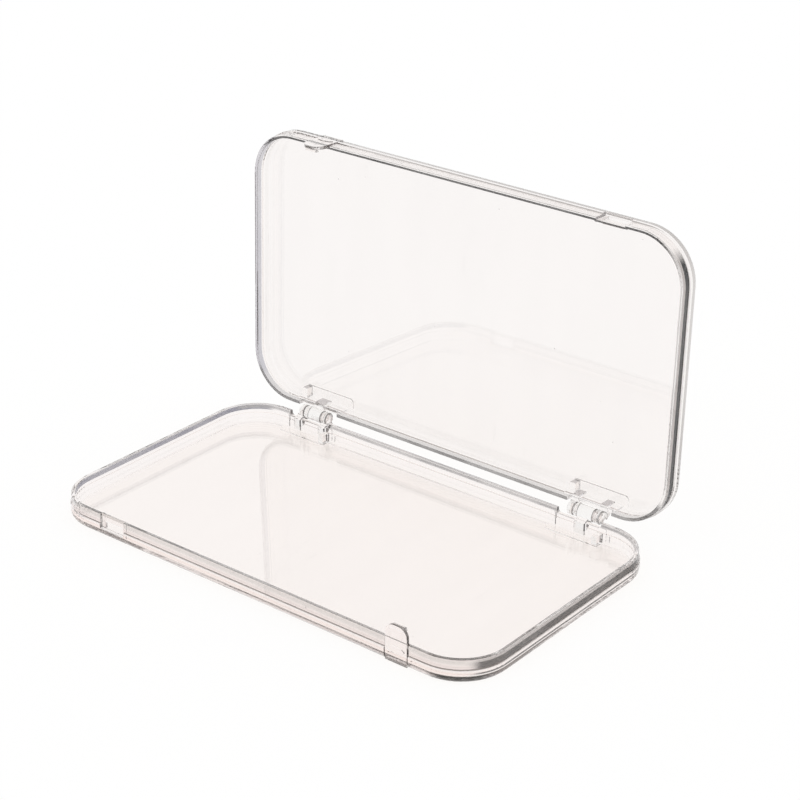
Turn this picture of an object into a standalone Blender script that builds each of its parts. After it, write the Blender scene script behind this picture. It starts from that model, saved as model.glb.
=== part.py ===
"""Clear hinged box for storing press-on nails, standing open.

Two clear plastic trays of one design face each other. Each has, on its back wall, a hinge with
two lugs at one end and a hinge with one knuckle at the other, and on its front wall a latch
tongue at one end and a recess at the other. Turned over, each feature meets its mate.

Metres, +Z up, +X to the right along the long side, +Y towards the hinges. The base stands on
Z = 0, centred on the origin.
"""

import math

import bmesh
import bpy
from mathutils import Matrix, Vector

MM = 0.001

# Overall size of one tray
length = 150.0 * MM
width = 85.0 * MM
corner_radius = 14.6 * MM
half_depth = 6.9 * MM           # underside to the plane where the trays meet
parting_gap = 0.3 * MM          # between the two rims when shut

# Wall section
floor_thickness = 1.2 * MM
wall_thickness = 1.5 * MM
bottom_round = 1.7 * MM
floor_cove = 1.3 * MM
ledge_height = 3.6 * MM
ledge_width = 0.4 * MM
rim_round = 0.2 * MM

# Hinges
hinge_inset = 25.4 * MM         # tray end to the hinge's middle
axis_behind_wall = 1.05 * MM
knuckle_radius = 2.0 * MM
knuckle_edge = 0.2 * MM
lug_span = 6.9 * MM             # between the inner faces of the two lugs
lug_thickness = 1.8 * MM
running_gap = 0.3 * MM
pin_radius = 0.9 * MM
pin_reach = 1.0 * MM
lug_arm_thickness = 2.4 * MM    # arm under each lug, from the lug's inner face
web_thickness = 3.4 * MM        # arm under the single knuckle
arm_stands_in = 0.75 * MM       # arm's front face, in from the wall
gusset_drop = 4.5 * MM
notch_shift = 0.65 * MM         # off the hinge's middle
notch_width = 14.9 * MM
notch_depth = 1.75 * MM
notch_corner = 0.9 * MM

# Raised pad round each hinge, with a stiffening rib at its end
pad_shift = 1.2 * MM            # off the hinge's middle
pad_width = 18.0 * MM
wall_pad_width = 17.4 * MM
pad_reach = 5.0 * MM            # in from the outside of the back wall
pad_height = 0.35 * MM
pad_corner = 1.4 * MM
rib_thickness = 1.8 * MM
rib_height = 2.9 * MM
rib_inset = 0.1 * MM

# Latches, placed from the tray's ends
right_latch_inset = 23.8 * MM   # latch with its tongue on the base
left_tongue_inset = 25.8 * MM   # the lid's tongue
left_recess_inset = 25.1 * MM   # the base's recess, which is wider than that tongue
tongue_width = 7.0 * MM
tongue_thickness = 0.9 * MM
tongue_inset = 0.05 * MM        # outer face, in from the outline
tongue_rise = 4.3 * MM          # above the parting plane
tongue_corner = 2.75 * MM
tongue_slot = 0.35 * MM
tongue_root = 0.75 * MM         # height where the slots end
catch_depth = 0.9 * MM
catch_rise = 1.4 * MM           # barb's height, at the tongue's tip
catch_width = 4.6 * MM
catch_corner = 1.0 * MM
catch_step = 0.2 * MM           # the barb's top, below the tongue's tip
catch_lead = 0.45 * MM          # chamfer that leads the barb in
recess_width = 9.1 * MM
recess_gap = 0.2 * MM           # behind the tongue
recess_skin = 0.7 * MM
recess_end_gap = 0.4 * MM       # below the tongue's tip
recess_corner = 0.5 * MM
window_side_gap = 1.1 * MM      # each side of the barb in its window
window_end_gap = 0.3 * MM       # below and above the barb
grip_width = 5.6 * MM
grip_height = 2.0 * MM
grip_depth = 0.35 * MM
grip_centre_height = 4.4 * MM

# How far a joined shape runs into the one that it grows from, and a cutter past what it cuts
root = 0.4 * MM
overcut = 1.0 * MM

# The lid stands a little past upright
lid_angle = math.radians(91.8)

corner_steps = 14
bend_steps = 5
round_segments = 32

# Places worked out from the sizes
back_y = width / 2
front_y = -width / 2
back_inner_y = back_y - wall_thickness
axis_y = back_y + axis_behind_wall
axis_z = half_depth
rim_z = half_depth - parting_gap / 2
knuckle_length = lug_span - 2 * running_gap
single_x = length / 2 - hinge_inset
twin_x = -single_x
right_latch = length / 2 - right_latch_inset
left_tongue = length / 2 - left_tongue_inset
left_recess = length / 2 - left_recess_inset
recess_face_y = front_y + tongue_inset + tongue_thickness + recess_gap


def clear_scene():
    """Removes every object."""
    for thing in list(bpy.data.objects):
        bpy.data.objects.remove(thing)


def arc(centre, radius, start, end, steps):
    """Points along an arc, angles in degrees."""
    points = []
    for i in range(steps + 1):
        angle = math.radians(start + (end - start) * i / steps)
        points.append((centre[0] + radius * math.cos(angle), centre[1] + radius * math.sin(angle)))
    return points


def rounded(corners, radii, steps=bend_steps):
    """A closed outline from its corners, each rounded by its radius."""
    outline = []
    count = len(corners)
    for i, radius in enumerate(radii):
        corner = Vector(corners[i])
        if radius == 0:
            outline.append(tuple(corner))
            continue
        before = (Vector(corners[i - 1]) - corner).normalized()
        after = (Vector(corners[(i + 1) % count]) - corner).normalized()
        half_turn = before.angle(after) / 2
        centre = corner + (before + after).normalized() * radius / math.sin(half_turn)
        start = corner + before * radius / math.tan(half_turn) - centre
        end = corner + after * radius / math.tan(half_turn) - centre
        turn = start.angle_signed(end)
        for step in range(steps + 1):
            outline.append(tuple(centre + Matrix.Rotation(-turn * step / steps, 2) @ start))
    return outline


def rounded_rectangle(size_x, size_y, radius):
    """The tray's plan outline, anticlockwise from its right side."""
    x = size_x / 2 - radius
    y = size_y / 2 - radius
    points = []
    for centre, start in (((x, y), 0), ((-x, y), 90), ((-x, -y), 180), ((x, -y), 270)):
        points += arc(centre, radius, start, start + 90, corner_steps)
    return points


def add_object(name, bm):
    """A mesh object from a bmesh, faces turned outwards."""
    bmesh.ops.recalc_face_normals(bm, faces=bm.faces)
    mesh = bpy.data.meshes.new(name)
    bm.to_mesh(mesh)
    bm.free()
    thing = bpy.data.objects.new(name, mesh)
    bpy.context.scene.collection.objects.link(thing)
    return thing


def prism(name, outline, place, near, far):
    """A closed solid: an outline carried from near to far by the function place."""
    bm = bmesh.new()
    ends = [[bm.verts.new(place(point, depth)) for point in outline] for depth in (near, far)]
    bm.faces.new(ends[0])
    bm.faces.new(reversed(ends[1]))
    for i in range(len(outline)):
        j = (i + 1) % len(outline)
        bm.faces.new((ends[0][i], ends[0][j], ends[1][j], ends[1][i]))
    return add_object(name, bm)


def along_x(point, depth):
    """Carries an outline in Y and Z along X."""
    return (depth, point[0], point[1])


def along_y(point, depth):
    """Carries an outline in X and Z along Y."""
    return (point[0], depth, point[1])


def along_z(point, depth):
    """Carries an outline in X and Y along Z."""
    return (point[0], point[1], depth)


def turned(name, profile):
    """A solid turned about the hinge axis from (x, radius) points, first and last on its ends."""
    bm = bmesh.new()
    loops = []
    for x, radius in profile:
        circle = arc((axis_y, axis_z), radius, 0, 360, round_segments)[:-1]
        loops.append([bm.verts.new((x, y, z)) for y, z in circle])
    for one, other in zip(loops, loops[1:]):
        for i in range(round_segments):
            j = (i + 1) % round_segments
            bm.faces.new((one[i], one[j], other[j], other[i]))
    bm.faces.new(loops[0])
    bm.faces.new(reversed(loops[-1]))
    return add_object(name, bm)


def disc(name, middle, thickness, radius, edge):
    """A round piece on the hinge axis with a chamfered edge."""
    left = middle - thickness / 2
    right = middle + thickness / 2
    return turned(name, [(left, radius - edge), (left + edge, radius),
                         (right - edge, radius), (right, radius - edge)])


def combine(body, tool, operation):
    """Joins a tool to the body, or cuts it away."""
    modifier = body.modifiers.new(tool.name, "BOOLEAN")
    modifier.operation = operation
    modifier.solver = "EXACT"
    modifier.object = tool
    tool.hide_render = True
    tool.display_type = "WIRE"


def rectangle(low, high):
    """Corners of a rectangle from its low and high corners."""
    return [(low[0], low[1]), (high[0], low[1]), (high[0], high[1]), (low[0], high[1])]


def tray_shell():
    """The plain tray: one wall section carried round the rounded plan."""
    lip_middle = (ledge_width + wall_thickness) / 2
    section = [(inset, height) for inset, height in
               arc((bottom_round, bottom_round), bottom_round, 270, 180, bend_steps)]
    section += [(0, ledge_height), (ledge_width, ledge_height)]
    section += arc((ledge_width + rim_round, rim_z - rim_round), rim_round, 180, 90, 2)
    section += [(lip_middle, rim_z)]
    section += arc((wall_thickness - rim_round, rim_z - rim_round), rim_round, 90, 0, 2)
    section += arc((wall_thickness + floor_cove, floor_thickness + floor_cove),
                   floor_cove, 180, 270, bend_steps)
    bm = bmesh.new()
    rings = []
    for inset, height in section:
        plan = rounded_rectangle(length - 2 * inset, width - 2 * inset, corner_radius - inset)
        rings.append([bm.verts.new((x, y, height)) for x, y in plan])
    for lower, upper in zip(rings, rings[1:]):
        for i in range(len(lower)):
            j = (i + 1) % len(lower)
            bm.faces.new((lower[i], lower[j], upper[j], upper[i]))
    bm.faces.new(rings[0])
    bm.faces.new(rings[-1])
    bmesh.ops.remove_doubles(bm, verts=bm.verts, dist=rim_round / 100)
    return add_object("tray", bm)


def arm_outline():
    """Side view of the arm that carries a lug or knuckle, from the floor to the axis."""
    front = back_inner_y - arm_stands_in
    low = floor_thickness - root
    lean = math.radians(-60)
    on_round = (axis_y + knuckle_radius * math.cos(lean), axis_z + knuckle_radius * math.sin(lean))
    return [(front, low), (front, axis_z - notch_depth), (axis_y, axis_z), on_round,
            (back_y - root, axis_z - gusset_drop - root), (back_y - root, low)]


def add_hinge_seat(tray, side, hinge_x):
    """Pad, end rib and notch that both kinds of hinge have."""
    left = hinge_x - pad_shift - pad_width / 2
    right = left + pad_width
    pad_front = back_y - pad_reach
    floor_outline = rounded(rectangle((left, pad_front), (right, back_inner_y + root)),
                            (pad_corner, 0, 0, 0))
    combine(tray, prism(side + "_floor_pad", floor_outline, along_z,
                        floor_thickness - root, floor_thickness + pad_height), "UNION")
    wall_outline = rectangle((hinge_x - wall_pad_width / 2, floor_thickness - root),
                             (hinge_x + wall_pad_width / 2, axis_z - notch_depth + root))
    combine(tray, prism(side + "_wall_pad", wall_outline, along_y,
                        back_inner_y - pad_height, back_inner_y + root), "UNION")
    rib_right = right - rib_inset
    rib_outline = rectangle((rib_right - rib_thickness, floor_thickness - root),
                            (rib_right, floor_thickness + rib_height))
    combine(tray, prism(side + "_rib", rib_outline, along_y,
                        pad_front + rib_inset, back_inner_y + root), "UNION")
    notch_left = hinge_x - notch_shift - notch_width / 2
    notch_outline = rounded(rectangle((notch_left, axis_z - notch_depth),
                                      (notch_left + notch_width, axis_z + overcut)),
                            (notch_corner, notch_corner, 0, 0))
    combine(tray, prism(side + "_notch", notch_outline, along_y,
                        back_inner_y - pad_height - overcut, back_y + overcut), "DIFFERENCE")


def add_twin_hinge(tray):
    """Two lugs on their arms, with blind sockets that face each other."""
    for side, sign in (("outer", -1), ("inner", 1)):
        face = twin_x + sign * lug_span / 2
        arm_ends = sorted((face + sign * knuckle_edge, face + sign * lug_arm_thickness))
        combine(tray, prism(side + "_lug_arm", arm_outline(), along_x, *arm_ends), "UNION")
        combine(tray, disc(side + "_lug", face + sign * lug_thickness / 2, lug_thickness,
                           knuckle_radius, knuckle_edge), "UNION")
        socket = turned(side + "_socket", [(face - sign * overcut, pin_radius + running_gap),
                                           (face + sign * pin_reach, pin_radius + running_gap)])
        combine(tray, socket, "DIFFERENCE")


def add_single_hinge(tray):
    """One knuckle on its arm, with a stub pin at each end."""
    combine(tray, prism("knuckle_arm", arm_outline(), along_x,
                        single_x - web_thickness / 2, single_x + web_thickness / 2), "UNION")
    combine(tray, disc("knuckle", single_x, knuckle_length, knuckle_radius, knuckle_edge), "UNION")
    combine(tray, disc("stub_pins", single_x, knuckle_length + 2 * pin_reach,
                       pin_radius, knuckle_edge), "UNION")


def add_tongue(tray, tongue_x):
    """Springy latch tongue between two slots, with a barb inside its tip and a ridge to press."""
    outer = front_y + tongue_inset
    inner = outer + tongue_thickness
    left = tongue_x - tongue_width / 2
    right = tongue_x + tongue_width / 2
    tip = axis_z + tongue_rise
    tongue_outline = rounded(rectangle((left, tongue_root - root), (right, tip)),
                             (0, 0, tongue_corner, tongue_corner))
    combine(tray, prism("tongue", tongue_outline, along_y, outer, inner), "UNION")
    for side, slot_left in (("left", left - tongue_slot), ("right", right)):
        slot_outline = rectangle((slot_left, tongue_root),
                                 (slot_left + tongue_slot, axis_z + overcut))
        combine(tray, prism(side + "_slot", slot_outline, along_y,
                            front_y - overcut, front_y + wall_thickness + overcut), "DIFFERENCE")
    catch_face = inner + catch_depth
    catch_outline = rounded(rectangle((tongue_x - catch_width / 2, tip - catch_rise),
                                      (tongue_x + catch_width / 2, tip - catch_step)),
                            (0, 0, catch_corner, catch_corner))
    combine(tray, prism("catch", catch_outline, along_y, inner - root, catch_face), "UNION")
    lead_outline = [(catch_face - catch_lead - overcut, tip + overcut),
                    (catch_face + overcut, tip - catch_lead - overcut),
                    (catch_face + overcut, tip + overcut)]
    combine(tray, prism("catch_lead", lead_outline, along_x,
                        tongue_x - tongue_width, tongue_x + tongue_width), "DIFFERENCE")
    grip_outline = [(tongue_x + grip_width / 2 * math.cos(math.radians(angle)),
                     grip_centre_height + grip_height / 2 * math.sin(math.radians(angle)))
                    for angle in range(0, 360, 15)]
    combine(tray, prism("grip", grip_outline, along_y, outer - grip_depth, outer + root), "UNION")


def add_recess(tray, recess_x):
    """Pocket in the outside of the front wall for the other tray's tongue, with a barb window."""
    left = recess_x - recess_width / 2
    right = recess_x + recess_width / 2
    bottom = axis_z - tongue_rise - recess_end_gap
    backing = recess_face_y + recess_skin
    backing_outline = rounded(rectangle((left - recess_skin, front_y + ledge_width + rim_round),
                                        (right + recess_skin, backing)),
                              (0, 0, recess_corner, recess_corner))
    combine(tray, prism("recess_backing", backing_outline, along_z,
                        floor_thickness - root, rim_z - rim_round), "UNION")
    pocket_outline = rounded(rectangle((left, bottom), (right, axis_z + overcut)),
                             (recess_corner, recess_corner, 0, 0))
    combine(tray, prism("recess_pocket", pocket_outline, along_y,
                        front_y - overcut, recess_face_y), "DIFFERENCE")
    window_half = catch_width / 2 + window_side_gap
    tip = axis_z - tongue_rise
    window_outline = rectangle((recess_x - window_half, tip - window_end_gap),
                               (recess_x + window_half, tip + catch_rise + window_end_gap))
    combine(tray, prism("barb_window", window_outline, along_y,
                        front_y - overcut, backing + overcut), "DIFFERENCE")


def moulded_tray(tongue_x, recess_x):
    """One finished tray as a mesh, its origin on the hinge axis."""
    tray = tray_shell()
    add_hinge_seat(tray, "twin", twin_x)
    add_hinge_seat(tray, "single", single_x)
    add_twin_hinge(tray)
    add_single_hinge(tray)
    add_recess(tray, recess_x)
    add_tongue(tray, tongue_x)
    evaluated = tray.evaluated_get(bpy.context.evaluated_depsgraph_get())
    mesh = bpy.data.meshes.new_from_object(evaluated)
    mesh.materials.clear()
    mesh.transform(Matrix.Translation((0, -axis_y, -axis_z)))
    mesh.shade_smooth()
    mesh.set_sharp_from_angle(angle=math.radians(35))
    clear_scene()
    return mesh


def clear_plastic(name):
    """Clear polystyrene with a faint warm cast."""
    material = bpy.data.materials.new(name)
    material.use_nodes = True
    shader = material.node_tree.nodes["Principled BSDF"]
    shader.inputs["Base Color"].default_value = (0.94, 0.93, 0.91, 1.0)
    shader.inputs["Roughness"].default_value = 0.06
    shader.inputs["Metallic"].default_value = 0.0
    shader.inputs["IOR"].default_value = 1.59
    shader.inputs["Transmission Weight"].default_value = 1.0
    return material


def place_tray(name, mesh, turn):
    """One tray as its own object, its origin on the hinge axis."""
    mesh.name = name
    mesh.materials.append(clear_plastic(name + "_plastic"))
    thing = bpy.data.objects.new(name, mesh)
    bpy.context.scene.collection.objects.link(thing)
    thing.matrix_world = Matrix.Translation((0, axis_y, axis_z)) @ turn


clear_scene()
base_mesh = moulded_tray(right_latch, -left_recess)
lid_mesh = moulded_tray(left_tongue, -right_latch)

place_tray("base", base_mesh, Matrix.Identity(4))

# The lid is rolled over onto the base and then swung open
place_tray("lid", lid_mesh, Matrix.Rotation(-lid_angle, 4, "X") @ Matrix.Rotation(math.pi, 4, "Y"))
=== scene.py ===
import math

import bpy
from mathutils import Euler, Matrix, Vector

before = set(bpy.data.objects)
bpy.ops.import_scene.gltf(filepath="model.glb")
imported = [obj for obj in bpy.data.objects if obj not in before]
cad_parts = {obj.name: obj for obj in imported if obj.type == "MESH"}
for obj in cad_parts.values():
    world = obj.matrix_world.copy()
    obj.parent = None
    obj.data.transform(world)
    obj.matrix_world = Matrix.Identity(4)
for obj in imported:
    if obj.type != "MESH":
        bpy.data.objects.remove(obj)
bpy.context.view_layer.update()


# ---- Base ----
# The lower tray, one injection moulding of clear polystyrene with a faint warm cast. Its hinge lugs,
# knuckle, latch tongue and recess are moulded in one with it. The polished mould leaves it glossy. The
# dark and pale bands on its lips, seats, latches and hinge rings are painted shade and painted light in
# its tint, standing in for light that the clear walls bend and trap.

MM = 0.001

# Sizes of a tray in its own frame, with its open side up and its hinges at the back.
corner_radius = 14.6 * MM
straight_half_length = 75 * MM - corner_radius
straight_half_width = 42.5 * MM - corner_radius
axis_y = 43.55 * MM
axis_z = 6.9 * MM
twin_hinge = -49.6              # the hinge with two lugs, in millimetres from the middle
single_hinge = 49.6             # the hinge with one knuckle
hinge_reach = 6 * MM            # half the length of a hinge
# Radii of the painted dark ring and the painted pale barrel rim on each hinge.
ring_inner = 1.62 * MM          # ring near the edge of a lug's or knuckle's round end
ring_outer = 1.99 * MM
barrel_outer = 2.1 * MM

# Faces of the wall: depth in from the tray's outline, and how far either side of it counts.
outer_face = (0, 0.16 * MM)
ledge_round = (0.3 * MM, 0.5 * MM)
lip_face = (0.4 * MM, 0.16 * MM)
rim_top = (0.95 * MM, 0.5 * MM)
rim_inside = (1.25 * MM, 0.45 * MM)
inner_face = (1.5 * MM, 0.12 * MM)

# Looks of the plastic, of its marks, and of the shade painted onto it.
plastic_ior = 1.59
shadow_tint = (0.99, 0.98, 0.97)
trapped_after = 26              # bounces after which light leaves the plastic straight
trapped_tint = (0.66, 0.64, 0.63)
# Painted shade: a dark ring near the round end of each lug and knuckle, a pale grey one on the barrel's
# rim, and dark lines where the seats end and the arms meet the wall.
painted_ring_shade = (0.22, 0.21, 0.205)
painted_barrel_shade = (0.93, 0.92, 0.91)
painted_seat_end_shade = (0.30, 0.29, 0.29)
painted_far_end_shade = (0.25, 0.24, 0.24)
painted_arm_shade = (0.05, 0.047, 0.045)
corner_fade = 0.25              # share of the turn over which a band fades at a corner
cloud_scale = 70                # of the unevenness along a band
flow_shade = 0.012
scuff_shade = 0.05
speck_shade = 0.3
pin_shade = 0.06
scuff_roughness = 0.12
speck_roughness = 0.5
ripple_strength = 0.05
ripple_height = 0.2 * MM
pin_radius = 0.9 * MM
pin_centres = [(-48.8 * MM, 38.4 * MM, 1.55 * MM), (50.2 * MM, 38.4 * MM, 1.55 * MM)]


def start_group(name, inputs, outputs):
    """A shader node group with named sockets; returns the group, its input and its output node."""
    group = bpy.data.node_groups.new(name, "ShaderNodeTree")
    for socket_name, kind, value in inputs:
        socket = group.interface.new_socket(socket_name, in_out="INPUT", socket_type=kind)
        if value is not None:
            socket.default_value = value
    for socket_name, kind in outputs:
        group.interface.new_socket(socket_name, in_out="OUTPUT", socket_type=kind)
    return group, group.nodes.new("NodeGroupInput"), group.nodes.new("NodeGroupOutput")


def feed(tree, value, socket):
    """Sets a socket from a number, or links it from another socket."""
    if isinstance(value, bpy.types.NodeSocket):
        tree.links.new(value, socket)
    else:
        socket.default_value = value


def work_out(tree, operation, *terms):
    """One Math node."""
    node = tree.nodes.new("ShaderNodeMath")
    node.operation = operation
    for term, socket in zip(terms, node.inputs):
        feed(tree, term, socket)
    return node.outputs["Value"]


def step_up(tree, value, low, high):
    """0 below low, 1 above high, smooth between."""
    node = tree.nodes.new("ShaderNodeMapRange")
    node.interpolation_type = "SMOOTHSTEP"
    feed(tree, value, node.inputs["Value"])
    feed(tree, low, node.inputs["From Min"])
    feed(tree, high, node.inputs["From Max"])
    return node.outputs["Result"]


def product(tree, *factors):
    """All factors multiplied."""
    result = factors[0]
    for factor in factors[1:]:
        result = work_out(tree, "MULTIPLY", result, factor)
    return result


def rest(tree, share):
    """What is left of 1."""
    return work_out(tree, "SUBTRACT", 1.0, share)


def make_wall_band():
    """A band of painted shade or painted light along one side's wall: on one face, between two heights,
    where the wall looks one way.
    """
    group, given, result = start_group(
        "painted_wall_band",
        [("Place", "NodeSocketVector", None), ("Toward", "NodeSocketVector", None),
         ("Turn", "NodeSocketFloat", 0.0), ("Face", "NodeSocketFloat", 0.0),
         ("Spread", "NodeSocketFloat", 0.0), ("Low", "NodeSocketFloat", 0.0),
         ("High", "NodeSocketFloat", 0.0), ("Softness", "NodeSocketFloat", 0.0),
         ("Unevenness", "NodeSocketFloat", 0.0)],
        [("Mask", "NodeSocketFloat")])
    apart = group.nodes.new("ShaderNodeSeparateXYZ")
    group.links.new(given.outputs["Place"], apart.inputs["Vector"])
    beyond = []
    for axis, half in (("X", straight_half_length), ("Y", straight_half_width)):
        held = group.nodes.new("ShaderNodeClamp")
        held.inputs["Min"].default_value = -half
        held.inputs["Max"].default_value = half
        group.links.new(apart.outputs[axis], held.inputs["Value"])
        beyond.append(work_out(group, "SUBTRACT", apart.outputs[axis], held.outputs["Result"]))
    outward = group.nodes.new("ShaderNodeCombineXYZ")
    group.links.new(beyond[0], outward.inputs["X"])
    group.links.new(beyond[1], outward.inputs["Y"])
    reach = group.nodes.new("ShaderNodeVectorMath")
    reach.operation = "LENGTH"
    group.links.new(outward.outputs["Vector"], reach.inputs[0])
    depth = work_out(group, "SUBTRACT", corner_radius, reach.outputs["Value"])
    on_face = work_out(group, "COMPARE", depth, given.outputs["Face"], given.outputs["Spread"])
    unit = group.nodes.new("ShaderNodeVectorMath")
    unit.operation = "NORMALIZE"
    group.links.new(outward.outputs["Vector"], unit.inputs[0])
    facing = group.nodes.new("ShaderNodeVectorMath")
    facing.operation = "DOT_PRODUCT"
    group.links.new(unit.outputs["Vector"], facing.inputs[0])
    group.links.new(given.outputs["Toward"], facing.inputs[1])
    turned = step_up(group, facing.outputs["Value"], given.outputs["Turn"],
                     work_out(group, "ADD", given.outputs["Turn"], corner_fade))
    height = apart.outputs["Z"]
    soft = given.outputs["Softness"]
    above = step_up(group, height, work_out(group, "SUBTRACT", given.outputs["Low"], soft),
                    work_out(group, "ADD", given.outputs["Low"], soft))
    over = step_up(group, height, work_out(group, "SUBTRACT", given.outputs["High"], soft),
                   work_out(group, "ADD", given.outputs["High"], soft))
    cloud = group.nodes.new("ShaderNodeTexNoise")
    cloud.inputs["Scale"].default_value = cloud_scale
    cloud.inputs["Detail"].default_value = 2
    group.links.new(given.outputs["Place"], cloud.inputs["Vector"])
    uneven = product(group, given.outputs["Unevenness"],
                     step_up(group, cloud.outputs["Fac"], 0.35, 0.65))
    mask = product(group, on_face, turned, above, rest(group, over), rest(group, uneven))
    group.links.new(mask, result.inputs["Mask"])
    return group


def make_handling_marks():
    """Flow lines from the moulding, fine scuffs in loose patches, and specks of dust."""
    group, given, result = start_group(
        "handling_marks",
        [("Place", "NodeSocketVector", None), ("Scuffs", "NodeSocketFloat", 1.0),
         ("Dust", "NodeSocketFloat", 1.0)],
        [("Clear", "NodeSocketFloat"), ("Roughness", "NodeSocketFloat"),
         ("Height", "NodeSocketFloat")])
    place = given.outputs["Place"]

    def cloud(stretch, scale, detail):
        mapping = group.nodes.new("ShaderNodeMapping")
        mapping.inputs["Scale"].default_value = stretch
        mapping.inputs["Rotation"].default_value = (0, 0, 0.35 * detail)
        noise = group.nodes.new("ShaderNodeTexNoise")
        noise.inputs["Scale"].default_value = scale
        noise.inputs["Detail"].default_value = detail
        group.links.new(place, mapping.inputs["Vector"])
        group.links.new(mapping.outputs["Vector"], noise.inputs["Vector"])
        return noise.outputs["Fac"]

    flow = cloud((3.0, 0.6, 1.0), 30, 1)
    patches = step_up(group, cloud((1, 1, 1), 26, 2), 0.52, 0.66)
    streaks = step_up(group, cloud((14, 1, 1), 90, 3), 0.63, 0.70)
    scuffs = product(group, streaks, patches, given.outputs["Scuffs"])
    cells = group.nodes.new("ShaderNodeTexVoronoi")
    cells.inputs["Scale"].default_value = 190
    group.links.new(place, cells.inputs["Vector"])
    shade = group.nodes.new("ShaderNodeSeparateColor")
    group.links.new(cells.outputs["Color"], shade.inputs["Color"])
    few = step_up(group, shade.outputs["Red"], 0.90, 0.93)
    near = rest(group, step_up(group, cells.outputs["Distance"], 0.03, 0.055))
    specks = product(group, few, near, given.outputs["Dust"])
    dulled = work_out(group, "ADD", product(group, scuffs, scuff_shade),
                      product(group, specks, speck_shade))
    streaked = product(group, step_up(group, flow, 0.3, 0.75), flow_shade)
    clear = rest(group, work_out(group, "ADD", dulled, streaked))
    rough = work_out(group, "ADD", product(group, scuffs, scuff_roughness),
                     product(group, specks, speck_roughness))
    group.links.new(clear, result.inputs["Clear"])
    group.links.new(rough, result.inputs["Roughness"])
    group.links.new(work_out(group, "ADD", scuffs, specks), result.inputs["Height"])
    return group


def make_pin_mark():
    """The faint round print that an ejector pin leaves in the floor."""
    group, given, result = start_group(
        "pin_mark",
        [("Place", "NodeSocketVector", None), ("Centre", "NodeSocketVector", None),
         ("Radius", "NodeSocketFloat", 0.0)],
        [("Mask", "NodeSocketFloat")])
    away = group.nodes.new("ShaderNodeVectorMath")
    away.operation = "DISTANCE"
    group.links.new(given.outputs["Place"], away.inputs[0])
    group.links.new(given.outputs["Centre"], away.inputs[1])
    ratio = work_out(group, "DIVIDE", away.outputs["Value"], given.outputs["Radius"])
    ring = product(group, step_up(group, ratio, 0.7, 0.9), rest(group, step_up(group, ratio, 1.0, 1.2)))
    group.links.new(ring, result.inputs["Mask"])
    return group


def make_marked_faces():
    """The faces inside a box that look along one direction, either way, where painted shade goes."""
    group, given, result = start_group(
        "painted_shade_faces",
        [("Place", "NodeSocketVector", None), ("Facing", "NodeSocketVector", None),
         ("Low", "NodeSocketVector", None), ("High", "NodeSocketVector", None),
         ("Along", "NodeSocketVector", None)],
        [("Mask", "NodeSocketFloat")])
    sides = []
    for one, other in (("Place", "Low"), ("High", "Place")):
        room = group.nodes.new("ShaderNodeVectorMath")
        room.operation = "SUBTRACT"
        group.links.new(given.outputs[one], room.inputs[0])
        group.links.new(given.outputs[other], room.inputs[1])
        apart = group.nodes.new("ShaderNodeSeparateXYZ")
        group.links.new(room.outputs["Vector"], apart.inputs["Vector"])
        sides += [work_out(group, "GREATER_THAN", apart.outputs[axis], 0.0) for axis in "XYZ"]
    along = group.nodes.new("ShaderNodeVectorMath")
    along.operation = "DOT_PRODUCT"
    group.links.new(given.outputs["Facing"], along.inputs[0])
    group.links.new(given.outputs["Along"], along.inputs[1])
    looks = step_up(group, work_out(group, "ABSOLUTE", along.outputs["Value"]), 0.75, 0.95)
    group.links.new(product(group, looks, *sides), result.inputs["Mask"])
    return group


def make_lug_ring():
    """A ring about the hinge axis, between two radii, on the lugs or the knuckle of one hinge, where
    painted shade goes.
    """
    group, given, result = start_group(
        "painted_lug_ring",
        [("Place", "NodeSocketVector", None), ("Middle", "NodeSocketFloat", 0.0),
         ("Inner", "NodeSocketFloat", 0.0), ("Outer", "NodeSocketFloat", 0.0)],
        [("Mask", "NodeSocketFloat")])
    apart = group.nodes.new("ShaderNodeSeparateXYZ")
    group.links.new(given.outputs["Place"], apart.inputs["Vector"])
    back = work_out(group, "SUBTRACT", apart.outputs["Y"], axis_y)
    rise = work_out(group, "SUBTRACT", apart.outputs["Z"], axis_z)
    radius = work_out(group, "SQRT", work_out(group, "ADD", product(group, back, back),
                                              product(group, rise, rise)))
    near = work_out(group, "COMPARE", apart.outputs["X"], given.outputs["Middle"], hinge_reach)
    mask = product(group, near, work_out(group, "GREATER_THAN", radius, given.outputs["Inner"]),
                   work_out(group, "LESS_THAN", radius, given.outputs["Outer"]))
    group.links.new(mask, result.inputs["Mask"])
    return group


painted_wall_band = make_wall_band()
painted_shade_faces = make_marked_faces()
painted_lug_ring = make_lug_ring()
handling_marks = make_handling_marks()
pin_mark = make_pin_mark()


def place_group(tree, group, **values):
    """Puts a node group into a material with its own values."""
    node = tree.nodes.new("ShaderNodeGroup")
    node.node_tree = group
    for name, value in values.items():
        feed(tree, value, node.inputs[name])
    return node


def tinted(tree, mask, tint, colour):
    """The tint, changed to the colour where the mask is 1."""
    blend = tree.nodes.new("ShaderNodeMix")
    blend.data_type = "RGBA"
    tree.links.new(mask, blend.inputs["Factor"])
    feed(tree, tint, blend.inputs["A"])
    feed(tree, (*colour, 1), blend.inputs["B"])
    return blend.outputs["Result"]


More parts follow.
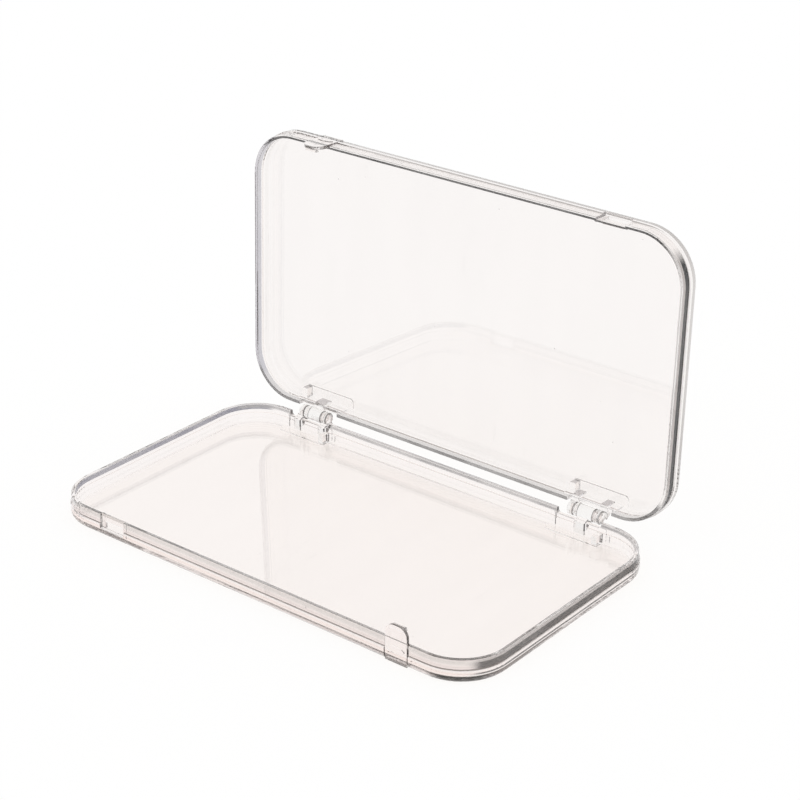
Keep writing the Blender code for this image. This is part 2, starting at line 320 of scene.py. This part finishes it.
def clear_plastic(name, own_tint, turn, shift, bands, patches, pins):
    """Clear moulded plastic, with painted shade and painted light in its tint. Turn and shift bring a
    point of the piece into its tray's own frame.
    """
    material = bpy.data.materials.new(name)
    material.use_nodes = True
    tree = material.node_tree
    shader = tree.nodes["Principled BSDF"]
    shader.inputs["IOR"].default_value = plastic_ior
    shader.inputs["Transmission Weight"].default_value = 1

    spot = tree.nodes.new("ShaderNodeTexCoord")
    own = tree.nodes.new("ShaderNodeMapping")
    own.inputs["Rotation"].default_value = turn
    own.inputs["Location"].default_value = shift
    tree.links.new(spot.outputs["Object"], own.inputs["Vector"])
    place = own.outputs["Vector"]
    own_facing = tree.nodes.new("ShaderNodeMapping")
    own_facing.vector_type = "VECTOR"
    own_facing.inputs["Rotation"].default_value = turn
    tree.links.new(spot.outputs["Normal"], own_facing.inputs["Vector"])
    facing = own_facing.outputs["Vector"]

    tint = (*own_tint, 1)
    # Bands of painted shade and painted light along the walls.
    for toward, turn_share, (face, spread), low, high, softness, unevenness, colour in bands:
        band = place_group(tree, painted_wall_band, Place=place, Toward=toward, Turn=turn_share, Face=face,
                           Spread=spread, Low=low * MM, High=high * MM, Softness=softness * MM,
                           Unevenness=unevenness)
        tint = tinted(tree, band.outputs["Mask"], tint, colour)
    # Patches of painted shade on the seats, arms and latches.
    for (low, high), along, colour in patches:
        patch = place_group(tree, painted_shade_faces, Place=place, Facing=facing, Low=low, High=high,
                            Along=along)
        tint = tinted(tree, patch.outputs["Mask"], tint, colour)
    # Painted shade: a dark ring and a pale barrel rim on each hinge.
    for middle in (twin_hinge, single_hinge):
        for inner, outer, colour in ((ring_inner, ring_outer, painted_ring_shade),
                                     (ring_outer, barrel_outer, painted_barrel_shade)):
            ring = place_group(tree, painted_lug_ring, Place=place, Middle=middle * MM, Inner=inner,
                               Outer=outer)
            tint = tinted(tree, ring.outputs["Mask"], tint, colour)

    marks = place_group(tree, handling_marks, Place=place)
    clear = marks.outputs["Clear"]
    height = marks.outputs["Height"]
    for centre in pins:
        pin = place_group(tree, pin_mark, Place=place, Centre=centre, Radius=pin_radius)
        clear = work_out(tree, "SUBTRACT", clear, product(tree, pin.outputs["Mask"], pin_shade))
        height = work_out(tree, "ADD", height, pin.outputs["Mask"])
    dim = tree.nodes.new("ShaderNodeMix")
    dim.data_type = "RGBA"
    dim.blend_type = "MULTIPLY"
    dim.inputs["Factor"].default_value = 1
    feed(tree, tint, dim.inputs["A"])
    tree.links.new(clear, dim.inputs["B"])
    tree.links.new(dim.outputs["Result"], shader.inputs["Base Color"])
    tree.links.new(marks.outputs["Roughness"], shader.inputs["Roughness"])

    ripple = tree.nodes.new("ShaderNodeBump")
    ripple.inputs["Strength"].default_value = ripple_strength
    ripple.inputs["Distance"].default_value = ripple_height
    tree.links.new(height, ripple.inputs["Height"])
    tree.links.new(ripple.outputs["Normal"], shader.inputs["Normal"])

    passing = tree.nodes.new("ShaderNodeBsdfTransparent")
    path = tree.nodes.new("ShaderNodeLightPath")
    trapped = work_out(tree, "GREATER_THAN", path.outputs["Ray Depth"], trapped_after)
    tree.links.new(tinted(tree, trapped, (*shadow_tint, 1), trapped_tint), passing.inputs["Color"])
    mix = tree.nodes.new("ShaderNodeMixShader")
    through = work_out(tree, "MAXIMUM", path.outputs["Is Shadow Ray"], path.outputs["Is Diffuse Ray"])
    tree.links.new(work_out(tree, "MAXIMUM", through, trapped), mix.inputs["Fac"])
    tree.links.new(shader.outputs["BSDF"], mix.inputs[1])
    tree.links.new(passing.outputs["BSDF"], mix.inputs[2])
    tree.links.new(mix.outputs["Shader"], tree.nodes["Material Output"].inputs["Surface"])
    return material


to_right = (1, 0, 0)
to_left = (-1, 0, 0)
to_front = (0, -1, 0)
to_back = (0, 1, 0)
to_right_corner = (0.6, -0.8, 0)
along_x = (1, 0, 0)
along_y = (0, 1, 0)
along_z = (0, 0, 1)
slanting = (0.7071, 0, 0.7071)


# A patch of painted shade is a box, the direction that its faces look along, and their tint.
def span(*ranges):
    """The low and the high corner of a box, from its x, y and z ranges in millimetres."""
    return tuple(tuple(limits[end] * MM for limits in ranges) for end in (0, 1))


def seat_painted_shades(middle, painted_side_shade, painted_top_shade):
    """Painted shade on one hinge's seat: arm and rib sides, the notch's left end, faces towards the
    tray.
    """
    seat = (middle - 10.4, middle + 8.2)
    notch_end = (middle - 8.3, middle - 7.5)
    pad_front = (37.4, 37.8)
    wall_pad_front = (40.1, 40.4)
    return [
        (span(seat, (40.1, 44.5), (1.3, 5.1)), along_x, painted_side_shade),
        (span(notch_end, (40.9, 42.7), (5.0, 6.9)), along_x, painted_side_shade),
        (span(seat, pad_front, (1.2, 4.2)), along_y, painted_top_shade),
        (span(seat, wall_pad_front, (1.7, 5.5)), along_y, painted_top_shade),
    ]


def painted_arm_lines(middle, arm_sides):
    """Painted shade: dark lines down the wall where the seat ends and where the arms grow out of it."""
    wall = (39.8, 41.3)
    upper_wall = (3.6, 6.4)
    lower_wall = (1.3, 3.6)
    lines = [
        (span((middle - 8.4, middle - 7.7), wall, upper_wall), along_y, painted_seat_end_shade),
        (span((middle - 8.3, middle - 8.0), wall, lower_wall), along_y, painted_arm_shade),
        (span((middle + 9.6, middle + 9.9), wall, lower_wall), along_y, painted_far_end_shade),
    ]
    for arm_side in arm_sides:
        side_x = middle + arm_side
        lines.append((span((side_x - 0.2, side_x + 0.1), wall, (2.8, 6.1)), along_y, painted_arm_shade))
    return lines


def latch_painted_shades(tongue, recess, painted_edge_shade, painted_line_shade, painted_soft_shade):
    """Painted shade on the tongue's edge, in its slots, and round the recess."""
    tongue_depth = (-43.0, -41.3)
    slot_depth = (-43.0, -40.8)
    recess_depth = (-43.0, -41.2)
    recess_face = (-41.6, -41.2)
    above_rim = (6.9, 11.3)
    below_rim = (0.8, 6.9)
    recess_height = (2.0, 6.9)
    recess_width = (recess - 4.5, recess + 4.5)
    tongue_box = span((tongue - 3.7, tongue + 3.7), tongue_depth, above_rim)
    tongue_right = span((tongue, tongue + 3.7), tongue_depth, above_rim)
    return [
        (tongue_box, along_x, painted_edge_shade),
        (tongue_box, along_z, painted_edge_shade),
        (tongue_right, slanting, painted_edge_shade),
        (span((tongue - 4.0, tongue), slot_depth, below_rim), along_x, painted_line_shade),
        (span((tongue, tongue + 4.0), slot_depth, below_rim), along_x, painted_soft_shade),
        (span((recess - 4.8, recess), recess_depth, recess_height), along_x, painted_soft_shade),
        (span((recess, recess + 4.8), recess_depth, recess_height), along_x, painted_line_shade),
        (span(recess_width, recess_face, (5.8, 6.9)), along_y, painted_soft_shade),
        (span(recess_width, recess_face, (2.1, 2.5)), along_y, painted_line_shade),
    ]


# Each row is a band of painted shade or painted light: the way the wall looks, how far it has to look
# that way, the face, the lowest and the highest point and the softness of both in millimetres, the
# unevenness, and the tint. The dark rows are painted shade; the peach rows low on the outer faces are a
# painted warm reflection.
base_painted_bands = [
    (to_right, 0.62, lip_face, 3.6, 6.0, 0.3, 0.02, (0.009, 0.007, 0.006)),
    (to_right, 0.62, lip_face, 6.0, 6.6, 0.4, 0.1, (0.16, 0.15, 0.145)),
    (to_right, 0.62, outer_face, 2.5, 3.0, 0.1, 0.01, (0.02, 0.018, 0.016)),
    (to_right, 0.62, outer_face, 1.0, 2.2, 0.6, 0.2, (0.97, 0.85, 0.83)),
    (to_left, 0.20, inner_face, 5.1, 6.6, 0.1, 0.10, (0.10, 0.10, 0.135)),
    (to_back, 0.30, inner_face, 5.6, 6.6, 0.3, 0.2, (0.18, 0.175, 0.18)),
    (to_back, 0.30, rim_top, 6.6, 7.0, 0.1, 0.2, (0.62, 0.61, 0.62)),
    (to_front, 0.55, lip_face, 5.2, 6.8, 0.6, 0.1, (0.60, 0.58, 0.56)),
    (to_front, 0.55, lip_face, 3.7, 5.0, 0.4, 0.1, (0.78, 0.70, 0.68)),
    (to_front, 0.55, outer_face, 0.8, 3.1, 0.3, 0.1, (0.98, 0.82, 0.77)),
    (to_right_corner, 0.70, ledge_round, 0.4, 2.2, 0.3, 0.03, (0.02, 0.017, 0.015)),
    (to_right_corner, 0.62, rim_top, 6.6, 7.0, 0.1, 0.05, (0.05, 0.042, 0.038)),
    (to_right_corner, 0.55, lip_face, 3.6, 4.0, 0.1, 0.05, (0.05, 0.04, 0.037)),
]
base_tongue = 51.2
base_recess = -49.9
lug_arm_sides = (-5.85, -3.65, 3.65, 5.85)
knuckle_web_sides = (-1.7, 1.7)
# The base's tint is set a little lighter than the lid's, though both are the same plastic, as painted
# light that offsets the light lost through its floor.
base_tint = (0.972, 0.940, 0.932)
base_painted_side_shade = (0.08, 0.075, 0.075)
base_painted_top_shade = (0.80, 0.79, 0.78)
base_painted_edge_shade = (0.14, 0.125, 0.118)
base_painted_line_shade = (0.12, 0.105, 0.10)
base_painted_soft_shade = (0.50, 0.47, 0.45)
no_turn = (0, 0, 0)
no_shift = (0, 0, 0)
base_painted_patches = (seat_painted_shades(twin_hinge, base_painted_side_shade, base_painted_top_shade)
                + seat_painted_shades(single_hinge, base_painted_side_shade, base_painted_top_shade)
                + painted_arm_lines(twin_hinge, lug_arm_sides)
                + painted_arm_lines(single_hinge, knuckle_web_sides)
                + latch_painted_shades(base_tongue, base_recess, base_painted_edge_shade, base_painted_line_shade,
                                base_painted_soft_shade))
base_plastic = clear_plastic("base_plastic", base_tint, no_turn, no_shift,
                             base_painted_bands, base_painted_patches, pin_centres)
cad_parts["base"].data.materials.clear()
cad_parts["base"].data.materials.append(base_plastic)


# ---- Lid ----
# The upper tray, the same design turned over and snapped onto the base's hinges. It stands open a
# little past upright, held by the friction of its snug pins.

hinge_axis = Vector((0, axis_y, axis_z))
lid_lean = math.radians(91.8)
lid_turn = Euler((lid_lean, math.pi, 0))
lid_shift = hinge_axis - lid_turn.to_matrix() @ hinge_axis
# The lid's own bands and patches of painted shade, laid where its walls look dark.
lid_painted_bands = [
    (to_left, 0.62, lip_face, 3.6, 5.7, 0.2, 0.005, (0.0004, 0.0004, 0.0005)),
    (to_left, 0.62, lip_face, 5.7, 6.6, 0.3, 0.1, (0.25, 0.22, 0.21)),
    (to_right, 0.30, inner_face, 5.0, 6.8, 0.1, 0.1, (0.36, 0.36, 0.41)),
    (to_right, 0.30, rim_top, 6.6, 7.0, 0.1, 0.1, (0.40, 0.39, 0.44)),
    (to_front, 0.62, rim_inside, 6.2, 7.0, 0.1, 0.02, (0.012, 0.011, 0.011)),
    (to_back, 0.50, inner_face, 5.0, 6.6, 0.2, 0.2, (0.50, 0.49, 0.49)),
    (to_back, 0.30, rim_top, 6.6, 7.0, 0.1, 0.1, (0.07, 0.066, 0.066)),
]
lid_tongue = 49.2
lid_recess = -51.2
lid_tint = (0.955, 0.925, 0.910)
lid_painted_soft_shade = (0.80, 0.78, 0.77)
lid_painted_top_shade = (0.34, 0.31, 0.31)
lid_painted_edge_shade = (0.30, 0.28, 0.27)
lid_painted_line_shade = (0.30, 0.28, 0.28)
lid_painted_patches = (seat_painted_shades(twin_hinge, lid_painted_soft_shade, lid_painted_top_shade)
               + seat_painted_shades(single_hinge, lid_painted_soft_shade, lid_painted_top_shade)
               + latch_painted_shades(lid_tongue, lid_recess, lid_painted_edge_shade, lid_painted_line_shade, lid_painted_soft_shade))
lid_plastic = clear_plastic("lid_plastic", lid_tint, tuple(lid_turn), tuple(lid_shift),
                            lid_painted_bands, lid_painted_patches, pin_centres)
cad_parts["lid"].data.materials.clear()
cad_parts["lid"].data.materials.append(lid_plastic)


# ---- Ground ----
# A wide sheet of matt white paper under the box, so that the clear plastic shows white behind it.

ground_half = 3.0
ground_gap = 0.2 * MM
paper_roughness = 0.9
ground_mesh = bpy.data.meshes.new("ground")
ground_mesh.from_pydata([(-ground_half, -ground_half, 0), (ground_half, -ground_half, 0),
                         (ground_half, ground_half, 0), (-ground_half, ground_half, 0)],
                        [], [(0, 1, 2, 3)])
ground = bpy.data.objects.new("ground", ground_mesh)
bpy.context.scene.collection.objects.link(ground)
ground.location.z = -ground_gap
paper = bpy.data.materials.new("white_paper")
paper.use_nodes = True
paper_shader = paper.node_tree.nodes["Principled BSDF"]
paper_shader.inputs["Base Color"].default_value = (1, 1, 1, 1)
paper_shader.inputs["Roughness"].default_value = paper_roughness
paper_shader.inputs["Specular IOR Level"].default_value = 0
ground_mesh.materials.append(paper)


# ---- Light ----
# An even white tent all round, at the level where a colour shows as it is. Light is followed for a
# few bounces beyond those after which the plastic lets it out.

tent = bpy.data.worlds.new("white_tent")
bpy.context.scene.world = tent
tent.use_nodes = True
tent.node_tree.nodes["Background"].inputs["Color"].default_value = (1, 1, 1, 1)
tent.node_tree.nodes["Background"].inputs["Strength"].default_value = 1.0
bounces = trapped_after + 6
cycles = bpy.context.scene.cycles
cycles.max_bounces = bounces
cycles.transmission_bounces = bounces
cycles.glossy_bounces = bounces
cycles.transparent_max_bounces = bounces
cycles.diffuse_bounces = 3


# ---- Camera ----
# A long lens from the right of the front, a little above, as in the photograph.

azimuth = math.radians(38.764)
elevation = math.radians(25.189)
roll = math.radians(0.241)
look_at = Vector((-45.542 * MM, 79.303 * MM, 0))
distance = 674 * MM
film_width = 36
focal_length = 95.92
ahead = Vector((-math.sin(azimuth) * math.cos(elevation), math.cos(azimuth) * math.cos(elevation),
                -math.sin(elevation)))
level_right = Vector((math.cos(azimuth), math.sin(azimuth), 0))
level_up = level_right.cross(ahead)
camera_right = math.cos(roll) * level_right + math.sin(roll) * level_up
camera_up = math.cos(roll) * level_up - math.sin(roll) * level_right
camera = bpy.data.objects.new("camera", bpy.data.cameras.new("camera"))
bpy.context.scene.collection.objects.link(camera)
pose = Matrix((camera_right, camera_up, -ahead)).transposed().to_4x4()
pose.translation = look_at - ahead * distance
camera.matrix_world = pose
camera.data.sensor_width = film_width
camera.data.lens = focal_length
bpy.context.scene.camera = camera
bpy.context.scene.view_settings.view_transform = "Standard"
